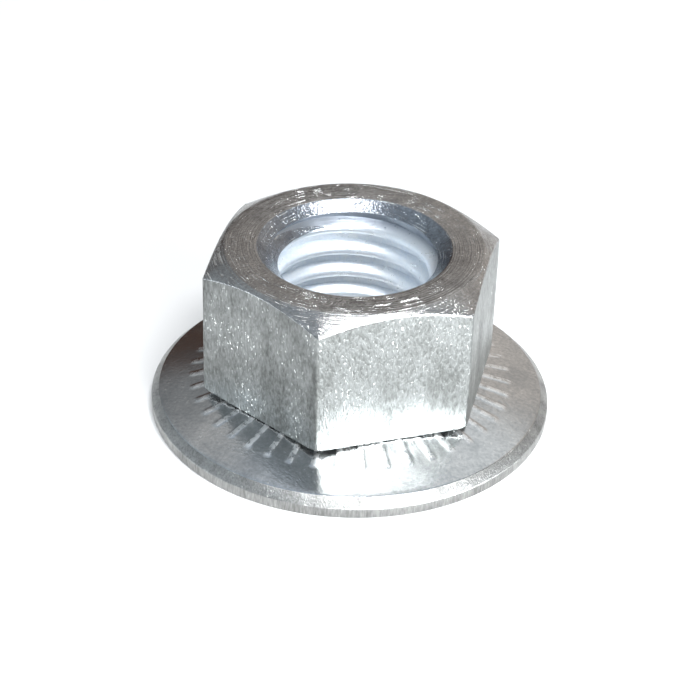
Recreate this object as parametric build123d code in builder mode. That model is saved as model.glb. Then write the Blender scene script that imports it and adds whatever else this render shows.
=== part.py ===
from build123d import *

import os
from math import atan, radians, sqrt, tan

# Hex nut with a captive, free-turning conical washer whose upper side carries radial
# serrations.  Millimetres, +Z up.  The origin lies on the thread axis in the plane that the
# washer's rim rests on, and two corners of the hexagon lie on the Y axis.

# Thread, M12 coarse: the bore is cut at the minor diameter
bore_diameter = 10.1
countersink_angle = 90.0
crown_sink_width = 1.45
collar_sink_width = 1.25

# Hexagon
across_flats = 18.0
hex_height = 9.7
hex_corner_round = 0.25
crown_inset = 0.35
crown_angle = 30.0
crown_edge_round = 0.35
foot_inset = 0.25
foot_angle = 30.0

# Collar that passes through the washer and is staked over beneath it
collar_wall = 0.9
collar_recess = 0.25
lip_overhang = 0.95
lip_thickness = 0.8
lip_taper = 0.35
lip_chamfer = 0.2

# Washer, stamped from sheet and coned
sheet_thickness = 1.25
seat_margin = 0.6
cone_width = 4.95
land_width = 0.5
rollover_radius = 0.9
rim_lower_chamfer = 0.12
hole_edge_chamfer = 0.2

# Serrations pressed up through the sheet
serration_count = 43
serration_height = 0.1
serration_root_depth = 0.1
serration_root_width = 0.62
serration_crest_width = 0.3
serration_margin = 0.15
plain_band_width = 2.55

# Clearances between the nut and the washer that turns on it
running_clearance = 0.1
seat_clearance = 0.03
lip_clearance = 0.1

# Heights, from the floor up
lip_top = collar_recess + lip_thickness
underside_height = lip_top + lip_clearance
seat_height = underside_height + sheet_thickness
hex_foot = seat_height + serration_height + seat_clearance
hex_crown = hex_foot + hex_height

# Radii of the nut, from the bore outwards
bore_radius = bore_diameter / 2
crown_sink_radius = bore_radius + crown_sink_width
collar_sink_radius = bore_radius + collar_sink_width
collar_radius = collar_sink_radius + collar_wall
lip_radius = collar_radius + lip_overhang
crown_radius = across_flats / 2 - crown_inset
corner_radius = across_flats / sqrt(3)
foot_radius = corner_radius - foot_inset
blank_radius = 1.05 * corner_radius

# Radii of the washer, from its hole outwards
hole_radius = collar_radius + running_clearance
underside_bend_radius = lip_radius + seat_margin
rim_radius = underside_bend_radius + cone_width
land_radius = rim_radius - land_width
serration_inner_radius = lip_radius + serration_margin
serration_outer_radius = rim_radius - plain_band_width

# Cone of the washer: its top runs parallel to the underside, one sheet thickness above it
cone_slope = underside_height / (land_radius - underside_bend_radius)
seat_radius = underside_bend_radius + sheet_thickness * tan(atan(cone_slope) / 2)
rim_height = seat_height - (rim_radius - seat_radius) * cone_slope


def corner(sketch, radius, height):
    """The corner of a half section that lies nearest to a given radius and height."""
    return sketch.vertices().sort_by_distance((radius, height))[0]


# Hex nut: hexagon bar, turned at both ends, with a thin collar left below it
with BuildPart() as hex_nut:
    with BuildSketch(Plane.XY.offset(hex_foot)):
        RegularPolygon(across_flats / 2, side_count=6, major_radius=False, rotation=30)
    extrude(amount=hex_height)
    fillet(hex_nut.edges().filter_by(Axis.Z), radius=hex_corner_round)

    # Both ends are chamfered on a lathe, which takes off the corners only
    crown_drop = (blank_radius - crown_radius) * tan(radians(crown_angle))
    foot_rise = (blank_radius - foot_radius) * tan(radians(foot_angle))
    with BuildSketch(Plane.XZ) as turned_section:
        with BuildLine():
            Polyline(
                (0, hex_foot),
                (foot_radius, hex_foot),
                (blank_radius, hex_foot + foot_rise),
                (blank_radius, hex_crown - crown_drop),
                (crown_radius, hex_crown),
                (0, hex_crown),
                close=True,
            )
        make_face()
        fillet(corner(turned_section, crown_radius, hex_crown), radius=crown_edge_round)
    revolve(axis=Axis.Z, mode=Mode.INTERSECT)

    # Collar and staked lip
    with BuildSketch(Plane.XZ) as collar_section:
        with BuildLine():
            Polyline(
                (0, hex_foot),
                (collar_radius, hex_foot),
                (collar_radius, lip_top),
                (lip_radius, lip_top),
                (lip_radius - lip_taper, collar_recess),
                (0, collar_recess),
                close=True,
            )
        make_face()
        chamfer(corner(collar_section, lip_radius, lip_top), length=lip_chamfer)
        chamfer(corner(collar_section, lip_radius - lip_taper, collar_recess), length=lip_chamfer)
    revolve(axis=Axis.Z)

    # Bore with a countersink at each end
    sink_slope = tan(radians(countersink_angle / 2))
    crown_sink_depth = crown_sink_width / sink_slope
    collar_sink_depth = collar_sink_width / sink_slope
    with BuildSketch(Plane.XZ):
        with BuildLine():
            Polyline(
                (0, collar_recess),
                (collar_sink_radius, collar_recess),
                (bore_radius, collar_recess + collar_sink_depth),
                (bore_radius, hex_crown - crown_sink_depth),
                (crown_sink_radius, hex_crown),
                (0, hex_crown),
                close=True,
            )
        make_face()
    revolve(axis=Axis.Z, mode=Mode.SUBTRACT)

hex_nut.part.label = "hex_nut"


def serration(surface_height, bend_radius):
    """One radial bar of tapered section along -Y that follows a bent surface of the washer."""
    root = serration_root_width / 2
    crest = serration_crest_width / 2
    outer_height = surface_height - (serration_outer_radius - bend_radius) * cone_slope
    crest_height = surface_height + serration_height
    root_height = surface_height - serration_root_depth
    with BuildPart() as bar:
        with BuildLine() as path:
            Polyline(
                (0, -serration_inner_radius, surface_height),
                (0, -bend_radius, surface_height),
                (0, -serration_outer_radius, outer_height),
            )
        with BuildSketch(Plane.XZ.offset(serration_inner_radius)) as section:
            with BuildLine():
                Polyline(
                    (-root, root_height),
                    (root, root_height),
                    (root, surface_height),
                    (crest, crest_height),
                    (-crest, crest_height),
                    (-root, surface_height),
                    close=True,
                )
            make_face()
        sweep(sections=section.sketch, path=path.line, transition=Transition.RIGHT)
    return bar.part


ridge = serration(seat_height, seat_radius)
groove = serration(underside_height, underside_bend_radius)

# Washer: one stamped sheet with a flat seat, a cone, a rolled-over outer edge and serrations
with BuildPart() as serrated_washer:
    with BuildSketch(Plane.XZ) as sheet_section:
        with BuildLine():
            Polyline(
                (hole_radius, seat_height),
                (seat_radius, seat_height),
                (rim_radius, rim_height),
                (rim_radius, 0),
                (land_radius, 0),
                (underside_bend_radius, underside_height),
                (hole_radius, underside_height),
                close=True,
            )
        make_face()
        fillet(corner(sheet_section, rim_radius, rim_height), radius=rollover_radius)
        chamfer(corner(sheet_section, rim_radius, 0), length=rim_lower_chamfer)
        chamfer(corner(sheet_section, hole_radius, seat_height), length=hole_edge_chamfer)
        chamfer(corner(sheet_section, hole_radius, underside_height), length=hole_edge_chamfer)
    revolve(axis=Axis.Z)

    # The press raises each ridge out of the sheet, which leaves a groove of its shape beneath
    with PolarLocations(0, serration_count):
        add(ridge)
    with PolarLocations(0, serration_count):
        add(groove, mode=Mode.SUBTRACT)

serrated_washer.part.label = "serrated_washer"

os.makedirs("parts", exist_ok=True)
export_step(hex_nut.part, "parts/hex_nut.step")
export_step(serrated_washer.part, "parts/serrated_washer.step")
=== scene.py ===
import bpy
from math import atan, atan2, cos, pi, radians, sin, sqrt, tan
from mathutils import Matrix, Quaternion, Vector


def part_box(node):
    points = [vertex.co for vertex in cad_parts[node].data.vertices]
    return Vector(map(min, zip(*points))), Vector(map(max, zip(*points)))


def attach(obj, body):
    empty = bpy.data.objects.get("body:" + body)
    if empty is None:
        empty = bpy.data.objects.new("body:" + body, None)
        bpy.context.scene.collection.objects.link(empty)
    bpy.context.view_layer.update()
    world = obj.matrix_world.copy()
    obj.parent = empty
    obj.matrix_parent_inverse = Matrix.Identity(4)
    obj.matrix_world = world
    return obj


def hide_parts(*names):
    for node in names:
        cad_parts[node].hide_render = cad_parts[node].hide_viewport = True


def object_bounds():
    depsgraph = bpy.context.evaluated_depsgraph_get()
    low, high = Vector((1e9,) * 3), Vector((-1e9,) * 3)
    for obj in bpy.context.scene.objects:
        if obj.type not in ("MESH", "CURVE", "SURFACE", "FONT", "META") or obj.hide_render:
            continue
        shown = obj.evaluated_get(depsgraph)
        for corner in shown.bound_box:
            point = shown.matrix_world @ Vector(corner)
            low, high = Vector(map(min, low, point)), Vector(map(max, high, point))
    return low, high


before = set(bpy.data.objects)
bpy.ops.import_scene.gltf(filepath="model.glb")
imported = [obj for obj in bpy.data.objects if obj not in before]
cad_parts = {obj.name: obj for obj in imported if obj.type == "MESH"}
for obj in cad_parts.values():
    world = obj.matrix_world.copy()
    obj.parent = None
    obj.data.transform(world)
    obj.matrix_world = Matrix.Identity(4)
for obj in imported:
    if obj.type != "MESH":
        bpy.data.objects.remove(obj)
cad_low, cad_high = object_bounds()

# Hex nut, the body.  Cold-drawn hexagon bar, turned at both ends so that only the corners are
# taken off, countersunk, tapped with a right-hand coarse thread, and left with a thin collar
# below that is staked over under the washer.
nut_low, nut_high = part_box("hex_nut")
washer_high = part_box("serrated_washer")[1]
seat_clearance = 0.00003
across_flats = nut_high.x - nut_low.x
corner_radius = across_flats / sqrt(3)
blank_radius = 1.05 * corner_radius
corner_round = 0.00025
bar_overhang = 0.001
crown = nut_high.z
crown_inset = 0.00035
crown_radius = across_flats / 2 - crown_inset
crown_round = 0.00035
foot = washer_high.z + seat_clearance
foot_inset = 0.00025
foot_radius = corner_radius - foot_inset
chamfer_angle = radians(30)
collar_end = nut_low.z
collar_radius = 0.0072
lip_radius = 0.00815
lip_thickness = 0.0008
lip_top = collar_end + lip_thickness
lip_taper = 0.00035
lip_chamfer = 0.0002
crown_sink_radius = 0.0065
collar_sink_radius = 0.0063
sink_lip_round = 0.0002
pilot_radius = 0.0045
turned_steps = 240
thread_pitch = 0.00175
thread_minor_radius = 0.00505
thread_major_radius = 0.0058
thread_start = 0.0004
crest_rounding = 0.47
thread_steps = 144
thread_turns = 12
turns_below = 4
edge_wear = 0.00011
worn_edge_angle = radians(20)
smooth_angle = radians(32)
merge_distance = 1e-7


def select(piece, kind, chosen):
    """Selects, in edit mode, the vertices, edges or faces of a piece that a test picks."""
    bpy.ops.mesh.select_all(action="DESELECT")
    bpy.ops.mesh.select_mode(type=kind)
    bpy.ops.object.mode_set(mode="OBJECT")
    mesh = piece.data
    for part in {"VERT": mesh.vertices, "EDGE": mesh.edges, "FACE": mesh.polygons}[kind]:
        part.select = chosen(part)
    bpy.ops.object.mode_set(mode="EDIT")


def draw_section(name, points, rounds=(), closed=False):
    """A half section in the XZ plane; rounds are (x, z, cut back along each side, segments)."""
    bpy.ops.object.select_all(action="DESELECT")
    bpy.ops.mesh.primitive_plane_add(size=0.001, location=(points[0][0], 0, points[0][1]))
    wire = bpy.context.object
    wire.name = name
    bpy.ops.object.transform_apply(location=True, rotation=True, scale=True)
    bpy.ops.object.mode_set(mode="EDIT")
    bpy.ops.mesh.select_all(action="SELECT")
    bpy.ops.mesh.merge(type="CENTER")
    bpy.ops.mesh.select_all(action="SELECT")
    for here, there in zip(points, points[1:]):
        step = (there[0] - here[0], 0, there[1] - here[1])
        bpy.ops.mesh.extrude_vertices_move(TRANSFORM_OT_translate={"value": step})
    if closed:
        select(wire, "VERT", lambda v: v.index in (0, len(points) - 1))
        bpy.ops.mesh.edge_face_add()
    for x, z, cut_back, segments in rounds:
        spot = Vector((x, 0, z))
        select(wire, "VERT", lambda v: (v.co - spot).length < 1e-6)
        bpy.ops.mesh.bevel(
            affect="VERTICES", offset=cut_back, segments=segments, clamp_overlap=False
        )
    bpy.ops.object.mode_set(mode="OBJECT")
    return wire


def turn(piece, steps, angle=2 * pi):
    """Spins a half section round the Z axis into a surface with its faces outwards."""
    bpy.ops.object.mode_set(mode="EDIT")
    bpy.ops.mesh.select_all(action="SELECT")
    bpy.ops.mesh.spin(steps=steps, angle=angle, center=(0, 0, 0), axis=(0, 0, 1))
    bpy.ops.mesh.select_all(action="SELECT")
    bpy.ops.mesh.remove_doubles(threshold=merge_distance)
    bpy.ops.mesh.normals_make_consistent(inside=False)
    bpy.ops.object.mode_set(mode="OBJECT")


def cut(piece, tool, operation):
    """Applies a Boolean of a tool to a piece, and removes the tool."""
    boolean = piece.modifiers.new(operation.lower(), "BOOLEAN")
    boolean.operation = operation
    boolean.solver = "EXACT"
    boolean.object = tool
    bpy.context.view_layer.objects.active = piece
    bpy.ops.object.modifier_apply(modifier=boolean.name)
    bpy.data.objects.remove(tool)


def setback(radius, turn_angle):
    """How far from a corner its round starts."""
    return radius * tan(turn_angle / 2)


# The bar, longer than the nut at both ends, with rounded corners
bar_length = crown - collar_end + 2 * bar_overhang
bpy.ops.object.select_all(action="DESELECT")
bpy.ops.mesh.primitive_cylinder_add(
    vertices=6,
    radius=corner_radius,
    depth=bar_length,
    location=(0, 0, (crown + collar_end) / 2),
)
nut = bpy.context.object
nut.name = "hex_nut_body"
bpy.ops.object.transform_apply(location=True, rotation=True, scale=True)
bpy.ops.object.mode_set(mode="EDIT")
bar = nut.data
select(
    nut,
    "EDGE",
    lambda e: abs(bar.vertices[e.vertices[0]].co.z - bar.vertices[e.vertices[1]].co.z)
    > bar_length / 2,
)
bpy.ops.mesh.bevel(
    offset=setback(corner_round, radians(60)), segments=4, affect="EDGES", clamp_overlap=False
)
bpy.ops.object.mode_set(mode="OBJECT")

# What the lathe leaves: crown, foot, collar, lip and both countersinks
crown_drop = (blank_radius - crown_radius) * tan(chamfer_angle)
foot_rise = (blank_radius - foot_radius) * tan(chamfer_angle)
turned = draw_section(
    "turned_form",
    [
        (0, crown - (crown_sink_radius - pilot_radius)),
        (pilot_radius, crown - (crown_sink_radius - pilot_radius)),
        (crown_sink_radius, crown),
        (crown_radius, crown),
        (blank_radius, crown - crown_drop),
        (blank_radius, foot + foot_rise),
        (foot_radius, foot),
        (collar_radius, foot),
        (collar_radius, lip_top),
        (lip_radius, lip_top),
        (lip_radius - lip_taper, collar_end),
        (collar_sink_radius, collar_end),
        (pilot_radius, collar_end + collar_sink_radius - pilot_radius),
        (0, collar_end + collar_sink_radius - pilot_radius),
    ],
    [
        (crown_sink_radius, crown, setback(sink_lip_round, radians(45)), 4),
        (crown_radius, crown, setback(crown_round, chamfer_angle), 5),
        (lip_radius, lip_top, lip_chamfer, 3),
        (lip_radius - lip_taper, collar_end, lip_chamfer, 3),
    ],
)
turn(turned, turned_steps)
cut(nut, turned, "INTERSECT")

# The tap, one thread section wound up the axis and closed at both ends; the plating has
# rounded the crests that it leaves
crest_flat = thread_pitch / 4
flank = (thread_major_radius - thread_minor_radius) * tan(radians(30))
half_root = (thread_pitch - crest_flat - 2 * flank) / 2
tap_start = thread_start - turns_below * thread_pitch
lower_crest = tap_start + half_root + flank
upper_crest = lower_crest + crest_flat
tap = draw_section(
    "tap",
    [
        (thread_major_radius, tap_start),
        (thread_major_radius, tap_start + half_root),
        (thread_minor_radius, lower_crest),
        (thread_minor_radius, upper_crest),
        (thread_major_radius, upper_crest + flank),
        (thread_major_radius, tap_start + thread_pitch),
    ],
    [
        (thread_minor_radius, lower_crest, crest_rounding * crest_flat, 4),
        (thread_minor_radius, upper_crest, crest_rounding * crest_flat, 4),
    ],
)
screw = tap.modifiers.new("screw", "SCREW")
screw.angle = 2 * pi
screw.screw_offset = thread_pitch
screw.iterations = thread_turns
screw.steps = thread_steps
screw.render_steps = thread_steps
screw.use_merge_vertices = True
screw.merge_threshold = merge_distance
bpy.context.view_layer.objects.active = tap
bpy.ops.object.modifier_apply(modifier=screw.name)
bpy.ops.object.mode_set(mode="EDIT")
bpy.ops.mesh.select_all(action="SELECT")
bpy.ops.mesh.remove_doubles(threshold=merge_distance)
for height, outwards in ((collar_end - bar_overhang, -1), (crown + bar_overhang, 1)):
    bpy.ops.mesh.select_all(action="SELECT")
    bpy.ops.mesh.bisect(
        plane_co=(0, 0, height),
        plane_no=(0, 0, outwards),
        use_fill=True,
        clear_outer=True,
        threshold=1e-8,
    )
bpy.ops.mesh.select_all(action="SELECT")
bpy.ops.mesh.normals_make_consistent(inside=False)
bpy.ops.object.mode_set(mode="OBJECT")
cut(nut, tap, "DIFFERENCE")

# Edges worn round where the turned ends meet the flats, outside the flat crown
outside_crown = crown_radius + 0.0001
bpy.context.view_layer.objects.active = nut
nut.select_set(True)
bpy.ops.object.mode_set(mode="EDIT")
bpy.ops.mesh.select_mode(type="EDGE")
bpy.ops.mesh.select_all(action="DESELECT")
bpy.ops.mesh.edges_select_sharp(sharpness=worn_edge_angle)
bpy.ops.object.mode_set(mode="OBJECT")
for edge in nut.data.edges:
    ends = [nut.data.vertices[i].co for i in edge.vertices]
    edge.select = edge.select and min(end.xy.length for end in ends) > outside_crown
bpy.ops.object.mode_set(mode="EDIT")
bpy.ops.mesh.bevel(offset=edge_wear, segments=3, affect="EDGES", clamp_overlap=False)
bpy.ops.object.mode_set(mode="OBJECT")
bpy.ops.object.shade_smooth_by_angle(angle=smooth_angle)
weighted = nut.modifiers.new("weighted", "WEIGHTED_NORMAL")
weighted.keep_sharp = True
bpy.ops.object.modifier_apply(modifier=weighted.name)


def node(tree, kind, place, inputs=(), **settings):
    """Adds a shader node; each input is a value, or the output that is linked to it."""
    made = tree.nodes.new(kind)
    made.location = place
    for name, value in settings.items():
        setattr(made, name, value)
    for name, value in dict(inputs).items():
        if isinstance(value, bpy.types.NodeSocket):
            tree.links.new(value, made.inputs[name])
        else:
            made.inputs[name].default_value = value
    return made


def group(name, inputs, outputs):
    """A shader node group with its named sockets, and its input and output nodes."""
    tree = bpy.data.node_groups.new(name, "ShaderNodeTree")
    kinds = {"V": "NodeSocketVector", "C": "NodeSocketColor", "F": "NodeSocketFloat"}
    for way, sockets in (("INPUT", inputs), ("OUTPUT", outputs)):
        for socket, kind in sockets.items():
            tree.interface.new_socket(socket, in_out=way, socket_type=kinds[kind])
    return tree, node(tree, "NodeGroupInput", (-1000, 0)).outputs, node(
        tree, "NodeGroupOutput", (1000, 0)
    ).inputs


# Plating: crystals of uneven tone over slow dull patches, with raised near-white specks whose
# tone is a painted glint, where crystals would catch the light one by one
plating, given, result = group(
    "zinc_plating",
    {
        "Vector": "V", "Dark": "C", "Light": "C", "Speck": "C", "Flake Scale": "F",
        "Patch Scale": "F", "Speck Amount": "F", "Smooth": "F", "Rough": "F",
    },
    {"Color": "C", "Roughness": "F", "Height": "F"},
)
flake = node(
    plating, "ShaderNodeTexNoise", (-750, 300),
    {"Vector": given["Vector"], "Scale": given["Flake Scale"], "Detail": 3.0, "Roughness": 0.6},
)
patch = node(
    plating, "ShaderNodeTexNoise", (-750, 0),
    {"Vector": given["Vector"], "Scale": given["Patch Scale"], "Detail": 3.0, "Roughness": 0.6},
)
speck_scale = node(
    plating, "ShaderNodeMath", (-850, -300), {0: given["Flake Scale"], 1: 1.3},
    operation="MULTIPLY",
)
speck = node(
    plating, "ShaderNodeTexNoise", (-650, -300),
    {"Vector": given["Vector"], "Scale": speck_scale.outputs[0], "Detail": 1.0},
)
both = node(
    plating, "ShaderNodeMix", (-500, 150),
    {0: 0.5, 2: flake.outputs["Fac"], 3: patch.outputs["Fac"]},
)
tone = node(
    plating, "ShaderNodeMapRange", (-300, 150),
    {"Value": both.outputs[0], "From Min": 0.36, "From Max": 0.64},
)
lone = node(
    plating, "ShaderNodeMapRange", (-450, -300),
    {"Value": speck.outputs["Fac"], "From Min": 0.64, "From Max": 0.74},
)
clustered = node(
    plating, "ShaderNodeMapRange", (-450, -550),
    {"Value": patch.outputs["Fac"], "From Min": 0.42, "From Max": 0.6},
)
cluster = node(
    plating, "ShaderNodeMath", (-350, -300), {0: lone.outputs[0], 1: clustered.outputs[0]},
    operation="MULTIPLY",
)
lone_amount = node(
    plating, "ShaderNodeMath", (-200, -300), {0: cluster.outputs[0], 1: given["Speck Amount"]},
    operation="MULTIPLY",
)
toned = node(
    plating, "ShaderNodeMix", (0, 250),
    {"Factor": tone.outputs[0], 6: given["Dark"], 7: given["Light"]}, data_type="RGBA",
)
specked = node(
    plating, "ShaderNodeMix", (300, 250),
    {"Factor": lone_amount.outputs[0], 6: toned.outputs[2], 7: given["Speck"]},
    data_type="RGBA",
)
sheen = node(
    plating, "ShaderNodeMapRange", (0, -50),
    {"Value": tone.outputs[0], "To Min": given["Rough"], "To Max": given["Smooth"]},
)
raised = node(
    plating, "ShaderNodeMath", (0, -300), {0: flake.outputs["Fac"], 1: lone_amount.outputs[0]},
    operation="ADD",
)
plating.links.new(specked.outputs[2], result["Color"])
plating.links.new(sheen.outputs[0], result["Roughness"])
plating.links.new(raised.outputs[0], result["Height"])

# Tool marks: fine rings round the axis, each fading in and out along its turn, and scratches
# that run with them for a short way
rings, given, result = group(
    "tool_rings", {"Vector": "V", "Ring Scale": "F"}, {"Height": "F", "Scratch": "F"}
)
flattened = node(
    rings, "ShaderNodeVectorMath", (-800, 0), {0: given["Vector"], 1: (1, 1, 0)},
    operation="MULTIPLY",
)
outward = node(
    rings, "ShaderNodeVectorMath", (-600, -150), {0: flattened.outputs[0]}, operation="NORMALIZE"
)
far = node(
    rings, "ShaderNodeVectorMath", (-600, 100), {0: flattened.outputs[0]}, operation="LENGTH"
)
ring = node(
    rings, "ShaderNodeMath", (-400, 100), {0: far.outputs["Value"], 1: given["Ring Scale"]},
    operation="MULTIPLY",
)
sideways = node(rings, "ShaderNodeSeparateXYZ", (-400, -150), {0: outward.outputs[0]})
wound = node(
    rings, "ShaderNodeCombineXYZ", (-200, 0),
    {0: ring.outputs[0], 1: sideways.outputs[0], 2: sideways.outputs[1]},
)
marks = node(
    rings, "ShaderNodeTexNoise", (0, 0),
    {"Vector": wound.outputs[0], "Scale": 1.0, "Detail": 3.0, "Roughness": 0.6},
)
keen = node(
    rings, "ShaderNodeTexNoise", (0, -300),
    {"Vector": wound.outputs[0], "Scale": 1.9, "Detail": 1.0, "Roughness": 0.5},
)
keen_line = node(
    rings, "ShaderNodeMapRange", (200, -300),
    {"Value": keen.outputs["Fac"], "From Min": 0.6, "From Max": 0.68},
)
short = node(
    rings, "ShaderNodeTexNoise", (0, -550),
    {"Vector": given["Vector"], "Scale": 900.0, "Detail": 2.0},
)
short_run = node(
    rings, "ShaderNodeMapRange", (200, -550),
    {"Value": short.outputs["Fac"], "From Min": 0.48, "From Max": 0.6},
)
scratch = node(
    rings, "ShaderNodeMath", (400, -400), {0: keen_line.outputs[0], 1: short_run.outputs[0]},
    operation="MULTIPLY",
)
grooved = node(
    rings, "ShaderNodeMath", (600, 0), {0: marks.outputs["Fac"], 1: scratch.outputs[0]},
    operation="SUBTRACT",
)
rings.links.new(grooved.outputs[0], result["Height"])
rings.links.new(scratch.outputs[0], result["Scratch"])


# Near-white tone of the specks and of the lighter scratches: a painted glint
glint_white = (0.92, 0.94, 0.92, 1)
scratch_glint_strength = 0.6


def zinc(name, dark, light, flake_scale, patch_scale, speck_amount, smooth, rough, relief,
         stretch=(1, 1, 1), ring_scale=0.0, ring_relief=0.0):
    """A plated finish: its tones, the scale of its crystals and the depth of its relief."""
    finish = bpy.data.materials.new(name)
    finish.use_nodes = True
    tree = finish.node_tree
    shader = tree.nodes["Principled BSDF"]
    shader.inputs["Metallic"].default_value = 1.0
    where = node(tree, "ShaderNodeTexCoord", (-1100, 0)).outputs["Object"]
    placed = node(tree, "ShaderNodeMapping", (-900, 0), {"Vector": where, "Scale": stretch})
    surface = node(
        tree, "ShaderNodeGroup", (-650, 0),
        {
            "Vector": placed.outputs[0], "Dark": (*dark, 1), "Light": (*light, 1),
            "Speck": glint_white, "Flake Scale": flake_scale, "Patch Scale": patch_scale,
            "Speck Amount": speck_amount, "Smooth": smooth, "Rough": rough,
        },
        node_tree=plating,
    )
    tree.links.new(surface.outputs["Color"], shader.inputs["Base Color"])
    tree.links.new(surface.outputs["Roughness"], shader.inputs["Roughness"])
    bump = node(
        tree, "ShaderNodeBump", (-300, -300),
        {"Height": surface.outputs["Height"], "Distance": relief},
    )
    if ring_relief:
        turned_marks = node(
            tree, "ShaderNodeGroup", (-650, -500), {"Vector": where, "Ring Scale": ring_scale},
            node_tree=rings,
        )
        ring_bump = node(
            tree, "ShaderNodeBump", (-500, -500),
            {"Height": turned_marks.outputs["Height"], "Distance": ring_relief},
        )
        tree.links.new(ring_bump.outputs["Normal"], bump.inputs["Normal"])
        # The scratches are also painted lighter in tone, a painted glint along them, besides
        # their grooves
        bright = node(
            tree, "ShaderNodeMath", (-450, 250),
            {0: turned_marks.outputs["Scratch"], 1: scratch_glint_strength}, operation="MULTIPLY",
        )
        scratch_glint_tone = node(
            tree, "ShaderNodeMix", (-250, 250),
            {"Factor": bright.outputs[0], 6: surface.outputs["Color"], 7: glint_white},
            data_type="RGBA",
        )
        tree.links.new(scratch_glint_tone.outputs[2], shader.inputs["Base Color"])
    tree.links.new(bump.outputs["Normal"], shader.inputs["Normal"])
    return finish


# The flats' zinc is painted darker than the other zinc: painted shade, which keeps the flats dark
# where they mirror the white floor
flats_painted_dark_finish = zinc(
    "zinc_on_flats_painted_dark", dark=(0.13, 0.135, 0.13), light=(0.345, 0.36, 0.355),
    flake_scale=5400, patch_scale=420, speck_amount=0.75, smooth=0.32, rough=0.46,
    relief=0.00007, stretch=(1, 1, 0.42),
)
turned_finish = zinc(
    "zinc_on_turned_ends", dark=(0.29, 0.285, 0.28), light=(0.52, 0.515, 0.505),
    flake_scale=6000, patch_scale=500, speck_amount=0.8, smooth=0.12, rough=0.26,
    relief=0.00002, ring_scale=9000, ring_relief=0.00005,
)
# The thread's zinc is painted near white: painted light, which keeps the bore bright where little
# light reaches into it
thread_painted_light_finish = zinc(
    "zinc_in_thread_painted_light", dark=(0.82, 0.88, 0.95), light=(0.95, 0.98, 1.0),
    flake_scale=5200, patch_scale=700, speck_amount=0.4, smooth=0.26, rough=0.4,
    relief=0.00002, ring_scale=7000, ring_relief=0.00001,
)
sink_finish = zinc(
    "zinc_on_countersink", dark=(0.16, 0.17, 0.19), light=(0.4, 0.43, 0.47),
    flake_scale=5200, patch_scale=700, speck_amount=0.9, smooth=0.16, rough=0.3,
    relief=0.00004, ring_scale=9000, ring_relief=0.00004,
)

# The thread's plating is milky (only part metallic) and painted near white, a painted light; it
# turns as dark as the countersink towards the thread's mouth, so the painted light fades out
# there
thread_mouth = crown - (crown_sink_radius - thread_minor_radius)
mouth_fade_below = 0.0004
mouth_fade_above = 0.0002
mouth_tone = (0.3, 0.33, 0.37, 1)
thread_metallic = 0.75
thread_tree = thread_painted_light_finish.node_tree
thread_shader = thread_tree.nodes["Principled BSDF"]
inside = node(
    thread_tree, "ShaderNodeSeparateXYZ", (-900, 400),
    {0: thread_tree.nodes["Texture Coordinate"].outputs["Object"]},
)
mouth = node(
    thread_tree, "ShaderNodeMapRange", (-700, 400),
    {
        "Value": inside.outputs[2],
        "From Min": thread_mouth - mouth_fade_below,
        "From Max": thread_mouth + mouth_fade_above,
    },
)
darkened = node(
    thread_tree, "ShaderNodeMix", (-200, 450),
    {
        "Factor": mouth.outputs[0],
        6: thread_shader.inputs["Base Color"].links[0].from_socket,
        7: mouth_tone,
    },
    data_type="RGBA",
)
thread_metal_blend = node(
    thread_tree, "ShaderNodeMapRange", (-200, 250),
    {"Value": mouth.outputs[0], "To Min": thread_metallic, "To Max": 1.0},
)
thread_tree.links.new(darkened.outputs[2], thread_shader.inputs["Base Color"])
thread_tree.links.new(thread_metal_blend.outputs[0], thread_shader.inputs["Metallic"])

# Each face takes its finish from where it lies and how steep it is
level_face = 0.95
upright_face = 0.3
cone_face = (0.65, 0.8)
lip_depth = 0.0002
inner_radius = crown_radius - 0.0005
finishes = [flats_painted_dark_finish, turned_finish, thread_painted_light_finish, sink_finish]
for finish in finishes:
    nut.data.materials.append(finish)
for face in nut.data.polygons:
    far_out = face.center.xy.length
    height = face.center.z
    steepness = abs(face.normal.z)
    on_cone = height > thread_mouth and cone_face[0] < steepness < cone_face[1]
    chosen = flats_painted_dark_finish
    if far_out < crown_sink_radius and steepness < level_face:
        chosen = sink_finish if on_cone or height > crown - lip_depth else thread_painted_light_finish
    elif steepness > upright_face or far_out < inner_radius:
        chosen = turned_finish
    face.material_index = finishes.index(chosen)
nut.data.update()
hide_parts("hex_nut")
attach(nut, "nut")

# Washer, serrated.  Sheet steel, blanked, coned and pressed so that short radial ridges stand
# up round the nut and leave grooves beneath, zinc plated, and free to turn on the collar.
rim_radius = washer_high.x
running_clearance = 0.0001
hole_radius = collar_radius + running_clearance
hole_chamfer = 0.0002
ridge_count = 43
ridge_height = 0.00004
ridge_crest = 0.0001
ridge_flank = 0.0003
ridge_inner_radius = 0.0083
ridge_outer_radius = 0.01095
seat_height = washer_high.z - ridge_height
seat_radius = 0.008909
sheet_thickness = 0.00125
underside_height = seat_height - sheet_thickness
seat_margin = 0.0006
bend_radius = lip_radius + seat_margin
land_width = 0.0005
land_radius = rim_radius - land_width
cone_slope = underside_height / (land_radius - bend_radius)
rim_height = seat_height - (rim_radius - seat_radius) * cone_slope
shoulder_width = 0.00055
shoulder_drop = 0.00042
shoulder_round = 0.0003
rim_edge_round = 0.00018
rim_chamfer = 0.00012
sector_angle = 2 * pi / ridge_count
sector_steps = 20
sector_merge_distance = 2e-6
sheet_smooth_angle = radians(40)


def cone_top(radius):
    """Height of the washer's upper side at a radius."""
    return seat_height - max(0, radius - seat_radius) * cone_slope


def steps_between(start, end, count):
    """Evenly spaced values after the start, up to and with the end."""
    return [start + (end - start) * (i + 1) / count for i in range(count)]


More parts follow.
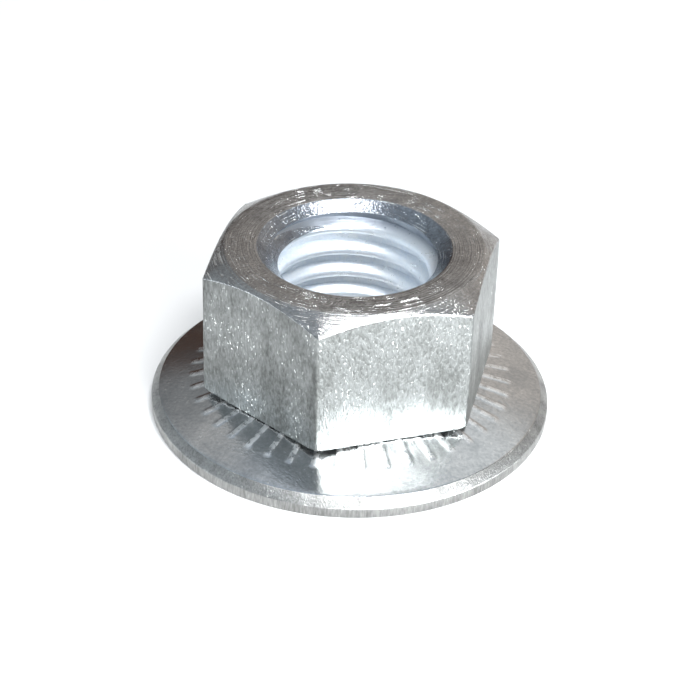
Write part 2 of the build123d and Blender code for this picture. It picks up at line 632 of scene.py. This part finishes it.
shoulder_angle = atan(
    (cone_top(rim_radius - shoulder_width) - rim_height + shoulder_drop) / shoulder_width
)
ridge_run_out = ridge_outer_radius + ridge_flank
upper = [
    hole_radius,
    *steps_between(hole_radius, ridge_inner_radius, 4),
    *steps_between(ridge_inner_radius, seat_radius, 4),
    *steps_between(seat_radius, ridge_run_out, 18),
    *steps_between(ridge_run_out, rim_radius - shoulder_width, 5),
]
lower = [
    *steps_between(land_radius, ridge_run_out, 4),
    *steps_between(ridge_run_out, bend_radius, 12),
    *steps_between(bend_radius, hole_radius, 4),
]
washer = draw_section(
    "coned_washer",
    [(r, cone_top(r)) for r in upper]
    + [(rim_radius, rim_height - shoulder_drop), (rim_radius, 0), (land_radius, 0)]
    + [(r, min(underside_height, (land_radius - r) * cone_slope)) for r in lower],
    [
        (
            rim_radius - shoulder_width,
            cone_top(rim_radius - shoulder_width),
            setback(shoulder_round, shoulder_angle - atan(cone_slope)),
            5,
        ),
        (
            rim_radius,
            rim_height - shoulder_drop,
            setback(rim_edge_round, pi / 2 - shoulder_angle),
            4,
        ),
        (rim_radius, 0, rim_chamfer, 2),
        (hole_radius, seat_height, hole_chamfer, 2),
        (hole_radius, underside_height, hole_chamfer, 2),
    ],
    closed=True,
)

# One sector of the sheet, its ridge and groove pressed, then copied round the axis
turn(washer, sector_steps, sector_angle)
middle = -sector_angle / 2


def on_ridge(v):
    """True for a vertex along the middle of the sector, within the length of a ridge."""
    far_out = v.co.xy.length
    aside = abs(atan2(v.co.y, v.co.x) - middle) * far_out
    return aside < ridge_crest and ridge_inner_radius < far_out < ridge_outer_radius


def above_middle(v):
    """True for a vertex of the sheet's upper side."""
    return v.co.z > cone_top(v.co.xy.length) - sheet_thickness / 2


bpy.ops.object.mode_set(mode="EDIT")
for side in (True, False):
    select(washer, "VERT", lambda v: on_ridge(v) and above_middle(v) == side)
    bpy.ops.transform.translate(
        value=(0, 0, ridge_height),
        use_proportional_edit=True,
        proportional_edit_falloff="SMOOTH",
        proportional_size=ridge_flank,
    )
bpy.ops.object.mode_set(mode="OBJECT")
washer.rotation_euler.z = -pi / 2 - middle
bpy.ops.object.select_all(action="DESELECT")
washer.select_set(True)
bpy.context.view_layer.objects.active = washer
bpy.ops.object.transform_apply(location=True, rotation=True, scale=True)
bpy.ops.object.mode_set(mode="EDIT")
bpy.ops.mesh.select_all(action="SELECT")
bpy.ops.mesh.spin(
    steps=ridge_count - 1,
    angle=sector_angle * (ridge_count - 1),
    center=(0, 0, 0),
    axis=(0, 0, 1),
    dupli=True,
)
bpy.ops.mesh.select_all(action="SELECT")
bpy.ops.mesh.remove_doubles(threshold=sector_merge_distance)
bpy.ops.mesh.normals_make_consistent(inside=False)
bpy.ops.object.mode_set(mode="OBJECT")
bpy.ops.object.shade_smooth_by_angle(angle=sheet_smooth_angle)

# A painted highlight along the crest of each ridge: a mask that is 1 along it and breaks up here
# and there
crest_mark_core = 0.00014
crest_mark_edge = 0.00027
crest_mark_full_radius = 0.0109
crest_mark_end_radius = 0.0113
# Tone of the painted highlight on the ridge crests
crest_highlight_tone = (0.84, 0.85, 0.85, 1)
crest_mark_roughness = 0.42
crest_highlight_strength = 0.75
crest_highlight_group, given, result = group("ridge_crest_highlight", {"Vector": "V"}, {"Mask": "F"})
axes = node(crest_highlight_group, "ShaderNodeSeparateXYZ", (-850, 0), {0: given["Vector"]})
front = node(
    crest_highlight_group, "ShaderNodeMath", (-700, -100), {0: axes.outputs[1], 1: -1.0},
    operation="MULTIPLY",
)
round_axis = node(
    crest_highlight_group, "ShaderNodeMath", (-550, 0), {0: axes.outputs[0], 1: front.outputs[0]},
    operation="ARCTAN2",
)
pitches = node(
    crest_highlight_group, "ShaderNodeMath", (-400, 0), {0: round_axis.outputs[0], 1: 1 / sector_angle},
    operation="MULTIPLY",
)
nearest = node(crest_highlight_group, "ShaderNodeMath", (-250, 100), {0: pitches.outputs[0]}, operation="ROUND")
off_pitch = node(
    crest_highlight_group, "ShaderNodeMath", (-100, 0), {0: pitches.outputs[0], 1: nearest.outputs[0]},
    operation="SUBTRACT",
)
flat_vector = node(
    crest_highlight_group, "ShaderNodeCombineXYZ", (-700, -300), {0: axes.outputs[0], 1: axes.outputs[1]}
)
far = node(
    crest_highlight_group, "ShaderNodeVectorMath", (-550, -300), {0: flat_vector.outputs[0]}, operation="LENGTH"
)
pitch_length = node(
    crest_highlight_group, "ShaderNodeMath", (-250, -200), {0: far.outputs["Value"], 1: sector_angle},
    operation="MULTIPLY",
)
aside = node(
    crest_highlight_group, "ShaderNodeMath", (50, 0), {0: off_pitch.outputs[0], 1: pitch_length.outputs[0]},
    operation="MULTIPLY",
)
distance = node(crest_highlight_group, "ShaderNodeMath", (200, 0), {0: aside.outputs[0]}, operation="ABSOLUTE")
across = node(
    crest_highlight_group, "ShaderNodeMapRange", (350, 0),
    {"Value": distance.outputs[0], "From Min": crest_mark_edge, "From Max": crest_mark_core},
    interpolation_type="SMOOTHSTEP",
)
along = node(
    crest_highlight_group, "ShaderNodeMapRange", (350, -250),
    {
        "Value": far.outputs["Value"],
        "From Min": crest_mark_end_radius,
        "From Max": crest_mark_full_radius,
    },
    interpolation_type="SMOOTHSTEP",
)
patchy = node(
    crest_highlight_group, "ShaderNodeTexNoise", (200, -500),
    {"Vector": given["Vector"], "Scale": 2200.0, "Detail": 3.0, "Roughness": 0.65},
)
broken = node(
    crest_highlight_group, "ShaderNodeMapRange", (350, -500),
    {"Value": patchy.outputs["Fac"], "From Min": 0.36, "From Max": 0.56},
)
bar_mask = node(
    crest_highlight_group, "ShaderNodeMath", (550, -100), {0: across.outputs[0], 1: along.outputs[0]},
    operation="MULTIPLY",
)
crest_highlight_mask = node(
    crest_highlight_group, "ShaderNodeMath", (750, -200), {0: bar_mask.outputs[0], 1: broken.outputs[0]},
    operation="MULTIPLY",
)
crest_highlight_group.links.new(crest_highlight_mask.outputs[0], result["Mask"])

# The smooth sheet, with the crest mask mixed into its tone as a painted highlight, and into its
# roughness
sheet_finish = zinc(
    "zinc_on_sheet", dark=(0.42, 0.44, 0.45), light=(0.66, 0.67, 0.67),
    flake_scale=4200, patch_scale=420, speck_amount=0.5, smooth=0.12, rough=0.22,
    relief=0.000008,
)
sheet = sheet_finish.node_tree
sheet_shader = sheet.nodes["Principled BSDF"]
ridge_mask = node(
    sheet, "ShaderNodeGroup", (-650, 400),
    {"Vector": sheet.nodes["Texture Coordinate"].outputs["Object"]}, node_tree=crest_highlight_group,
)
plain_tone = sheet_shader.inputs["Base Color"].links[0].from_socket
plain_roughness = sheet_shader.inputs["Roughness"].links[0].from_socket
crest_highlight_factor = node(
    sheet, "ShaderNodeMath", (-450, 400), {0: ridge_mask.outputs["Mask"], 1: crest_highlight_strength},
    operation="MULTIPLY",
)
crest_highlighted_tone = node(
    sheet, "ShaderNodeMix", (-250, 300),
    {"Factor": crest_highlight_factor.outputs[0], 6: plain_tone, 7: crest_highlight_tone},
    data_type="RGBA",
)
crest_mixed_roughness = node(
    sheet, "ShaderNodeMix", (-250, 50),
    {"Factor": crest_highlight_factor.outputs[0], 2: plain_roughness, 3: crest_mark_roughness},
)
sheet.links.new(crest_highlighted_tone.outputs[2], sheet_shader.inputs["Base Color"])
sheet.links.new(crest_mixed_roughness.outputs[0], sheet_shader.inputs["Roughness"])

# The sheared edge, with the grain of the cut running down it, and its tone painted darker than
# the sheet's: painted shade, which dims the white floor that it mirrors
cut_painted_dark_finish = zinc(
    "zinc_on_sheared_edge_painted_dark", dark=(0.17, 0.17, 0.165), light=(0.42, 0.42, 0.41),
    flake_scale=9000, patch_scale=700, speck_amount=0.3, smooth=0.28, rough=0.46,
    relief=0.00004, stretch=(1, 1, 0.15),
)
sheared_face = 0.85
washer.data.materials.append(sheet_finish)
washer.data.materials.append(cut_painted_dark_finish)
for face in washer.data.polygons:
    on_edge = face.center.xy.length > rim_radius - shoulder_width
    if on_edge and abs(face.normal.z) < sheared_face:
        face.material_index = 1
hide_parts("serrated_washer")
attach(washer, "washer")

# Floor.  A plain white sheet of paper that the part stands on.  It lends a little of its own
# white to what the camera and the metal see of it, and keeps the part's shadow.
floor_half_side = 1.5
paper_white = 0.5
paper_glow = 0.22
bpy.ops.object.select_all(action="DESELECT")
bpy.ops.mesh.primitive_plane_add(size=2 * floor_half_side, location=(0, 0, cad_low.z))
floor = bpy.context.object
floor.name = "floor"
paper = bpy.data.materials.new("white_paper")
paper.use_nodes = True
paper_tree = paper.node_tree
paper_shader = paper_tree.nodes["Principled BSDF"]
paper_shader.inputs["Base Color"].default_value = (paper_white, paper_white, paper_white, 1)
paper_shader.inputs["Roughness"].default_value = 1.0
paper_shader.inputs["Specular IOR Level"].default_value = 0.0
paper_shader.inputs["Emission Color"].default_value = (1, 1, 1, 1)
rays = node(paper_tree, "ShaderNodeLightPath", (-700, -300)).outputs
seen = node(
    paper_tree, "ShaderNodeMath", (-500, -300),
    {0: rays["Is Camera Ray"], 1: rays["Is Glossy Ray"]}, operation="MAXIMUM",
)
seen_through = node(
    paper_tree, "ShaderNodeMath", (-350, -300),
    {0: seen.outputs[0], 1: rays["Is Transmission Ray"]}, operation="MAXIMUM",
)
glow = node(
    paper_tree, "ShaderNodeMath", (-200, -300), {0: seen_through.outputs[0], 1: paper_glow},
    operation="MULTIPLY",
)
paper_tree.links.new(glow.outputs[0], paper_shader.inputs["Emission Strength"])
floor.data.materials.append(paper)

# Room.  Pale bluish walls, lighter overhead, warmer behind the part, dim and brown behind it on
# the left, and bright high up behind it where the room opens.
room = bpy.data.worlds.new("room")
room.use_nodes = True
walls = room.node_tree
direction = node(walls, "ShaderNodeTexCoord", (-1100, 0)).outputs["Generated"]


def towards(azimuth, elevation):
    """Unit vector from the part; azimuth runs from the front, -Y, towards the right, +X."""
    a, e = radians(azimuth), radians(elevation)
    return Vector((sin(a) * cos(e), -cos(a) * cos(e), sin(e)))


# Each region: its direction, the cosines where it starts to show and shows in full, its tone
wall_tone = (0.44, 0.5, 0.55, 1)
regions = (
    (170, 25, 0.45, 0.92, (0.66, 0.61, 0.57, 1)),
    (214, 18, 0.86, 0.97, (0.26, 0.27, 0.28, 1)),
    (206, 9, 0.92, 0.98, (0.08, 0.05, 0.04, 1)),
    (0, 90, 0.78, 0.96, (0.5, 0.57, 0.66, 1)),
    (171, 57, 0.9, 0.985, (0.95, 0.98, 1.0, 1)),
)
shade = wall_tone
for azimuth, elevation, starts, full, tone in regions:
    near = node(
        walls, "ShaderNodeVectorMath", (-900, 0),
        {0: direction, 1: towards(azimuth, elevation)}, operation="DOT_PRODUCT",
    )
    reach = node(
        walls, "ShaderNodeMapRange", (-700, 0),
        {"Value": near.outputs["Value"], "From Min": starts, "From Max": full},
        interpolation_type="SMOOTHSTEP",
    )
    mixed = node(
        walls, "ShaderNodeMix", (-400, 0), {"Factor": reach.outputs[0], 6: shade, 7: tone},
        data_type="RGBA",
    )
    shade = mixed.outputs[2]
walls.links.new(shade, walls.nodes["Background"].inputs["Color"])
bpy.context.scene.world = room

# Lamps.  Soft boxes round the part: a window to the front right, a strip on the ceiling, and low
# panels at both sides that light the hexagon's flats from their feet upwards.
lamp_distance = 0.3
aim = Vector((0, 0, (crown + foot) / 2))

# Each lamp: its name, its direction in degrees, its width and height, its level and its tone
lamps = (
    ("window_light", 48, 62, 0.085, 0.085, 36.0, (1, 1, 1)),
    ("ceiling_strip", 12, 64, 0.028, 0.125, 36.0, (0.97, 0.99, 1)),
    ("low_panel", 48, 8, 0.3, 0.1, 42.0, (0.95, 0.98, 1)),
    ("left_panel", -72, 4, 0.15, 0.05, 5.0, (0.85, 0.93, 1)),
)
for name, azimuth, elevation, width, height, level, tone in lamps:
    lamp = bpy.data.lights.new(name, "AREA")
    lamp.shape = "RECTANGLE"
    lamp.size = width
    lamp.size_y = height
    lamp.energy = level * pi * width * height
    lamp.color = tone
    softbox = bpy.data.objects.new(name, lamp)
    softbox.location = aim + towards(azimuth, elevation) * lamp_distance
    softbox.rotation_euler = towards(azimuth, elevation).to_track_quat("Z", "Y").to_euler()
    bpy.context.scene.collection.objects.link(softbox)

# Camera.  It stands above the front of the part, a little to its right, close by with a long
# lens, and is tilted a touch in its own plane.
camera_azimuth = 11.7
camera_elevation = 32.9
camera_roll = radians(1.85)
camera_distance = 0.138
camera_aside = -0.000072
camera_aim_height = 0.00395
focal_length = 103.6
sensor_width = 36
nearest_seen = 0.01
farthest_seen = 10
lens = bpy.data.cameras.new("camera")
lens.lens = focal_length
lens.sensor_width = sensor_width
lens.clip_start = nearest_seen
lens.clip_end = farthest_seen
camera = bpy.data.objects.new("camera", lens)
bpy.context.scene.collection.objects.link(camera)
back = towards(camera_azimuth, camera_elevation)
right = towards(camera_azimuth + 90, 0)
camera.location = (
    right * camera_aside + Vector((0, 0, camera_aim_height)) + back * camera_distance
)
camera.rotation_mode = "QUATERNION"
camera.rotation_quaternion = (
    back.to_track_quat("Z", "Y") @ Quaternion((0, 0, 1), camera_roll)
)
bpy.context.scene.camera = camera
bpy.context.scene.view_settings.view_transform = "Standard"
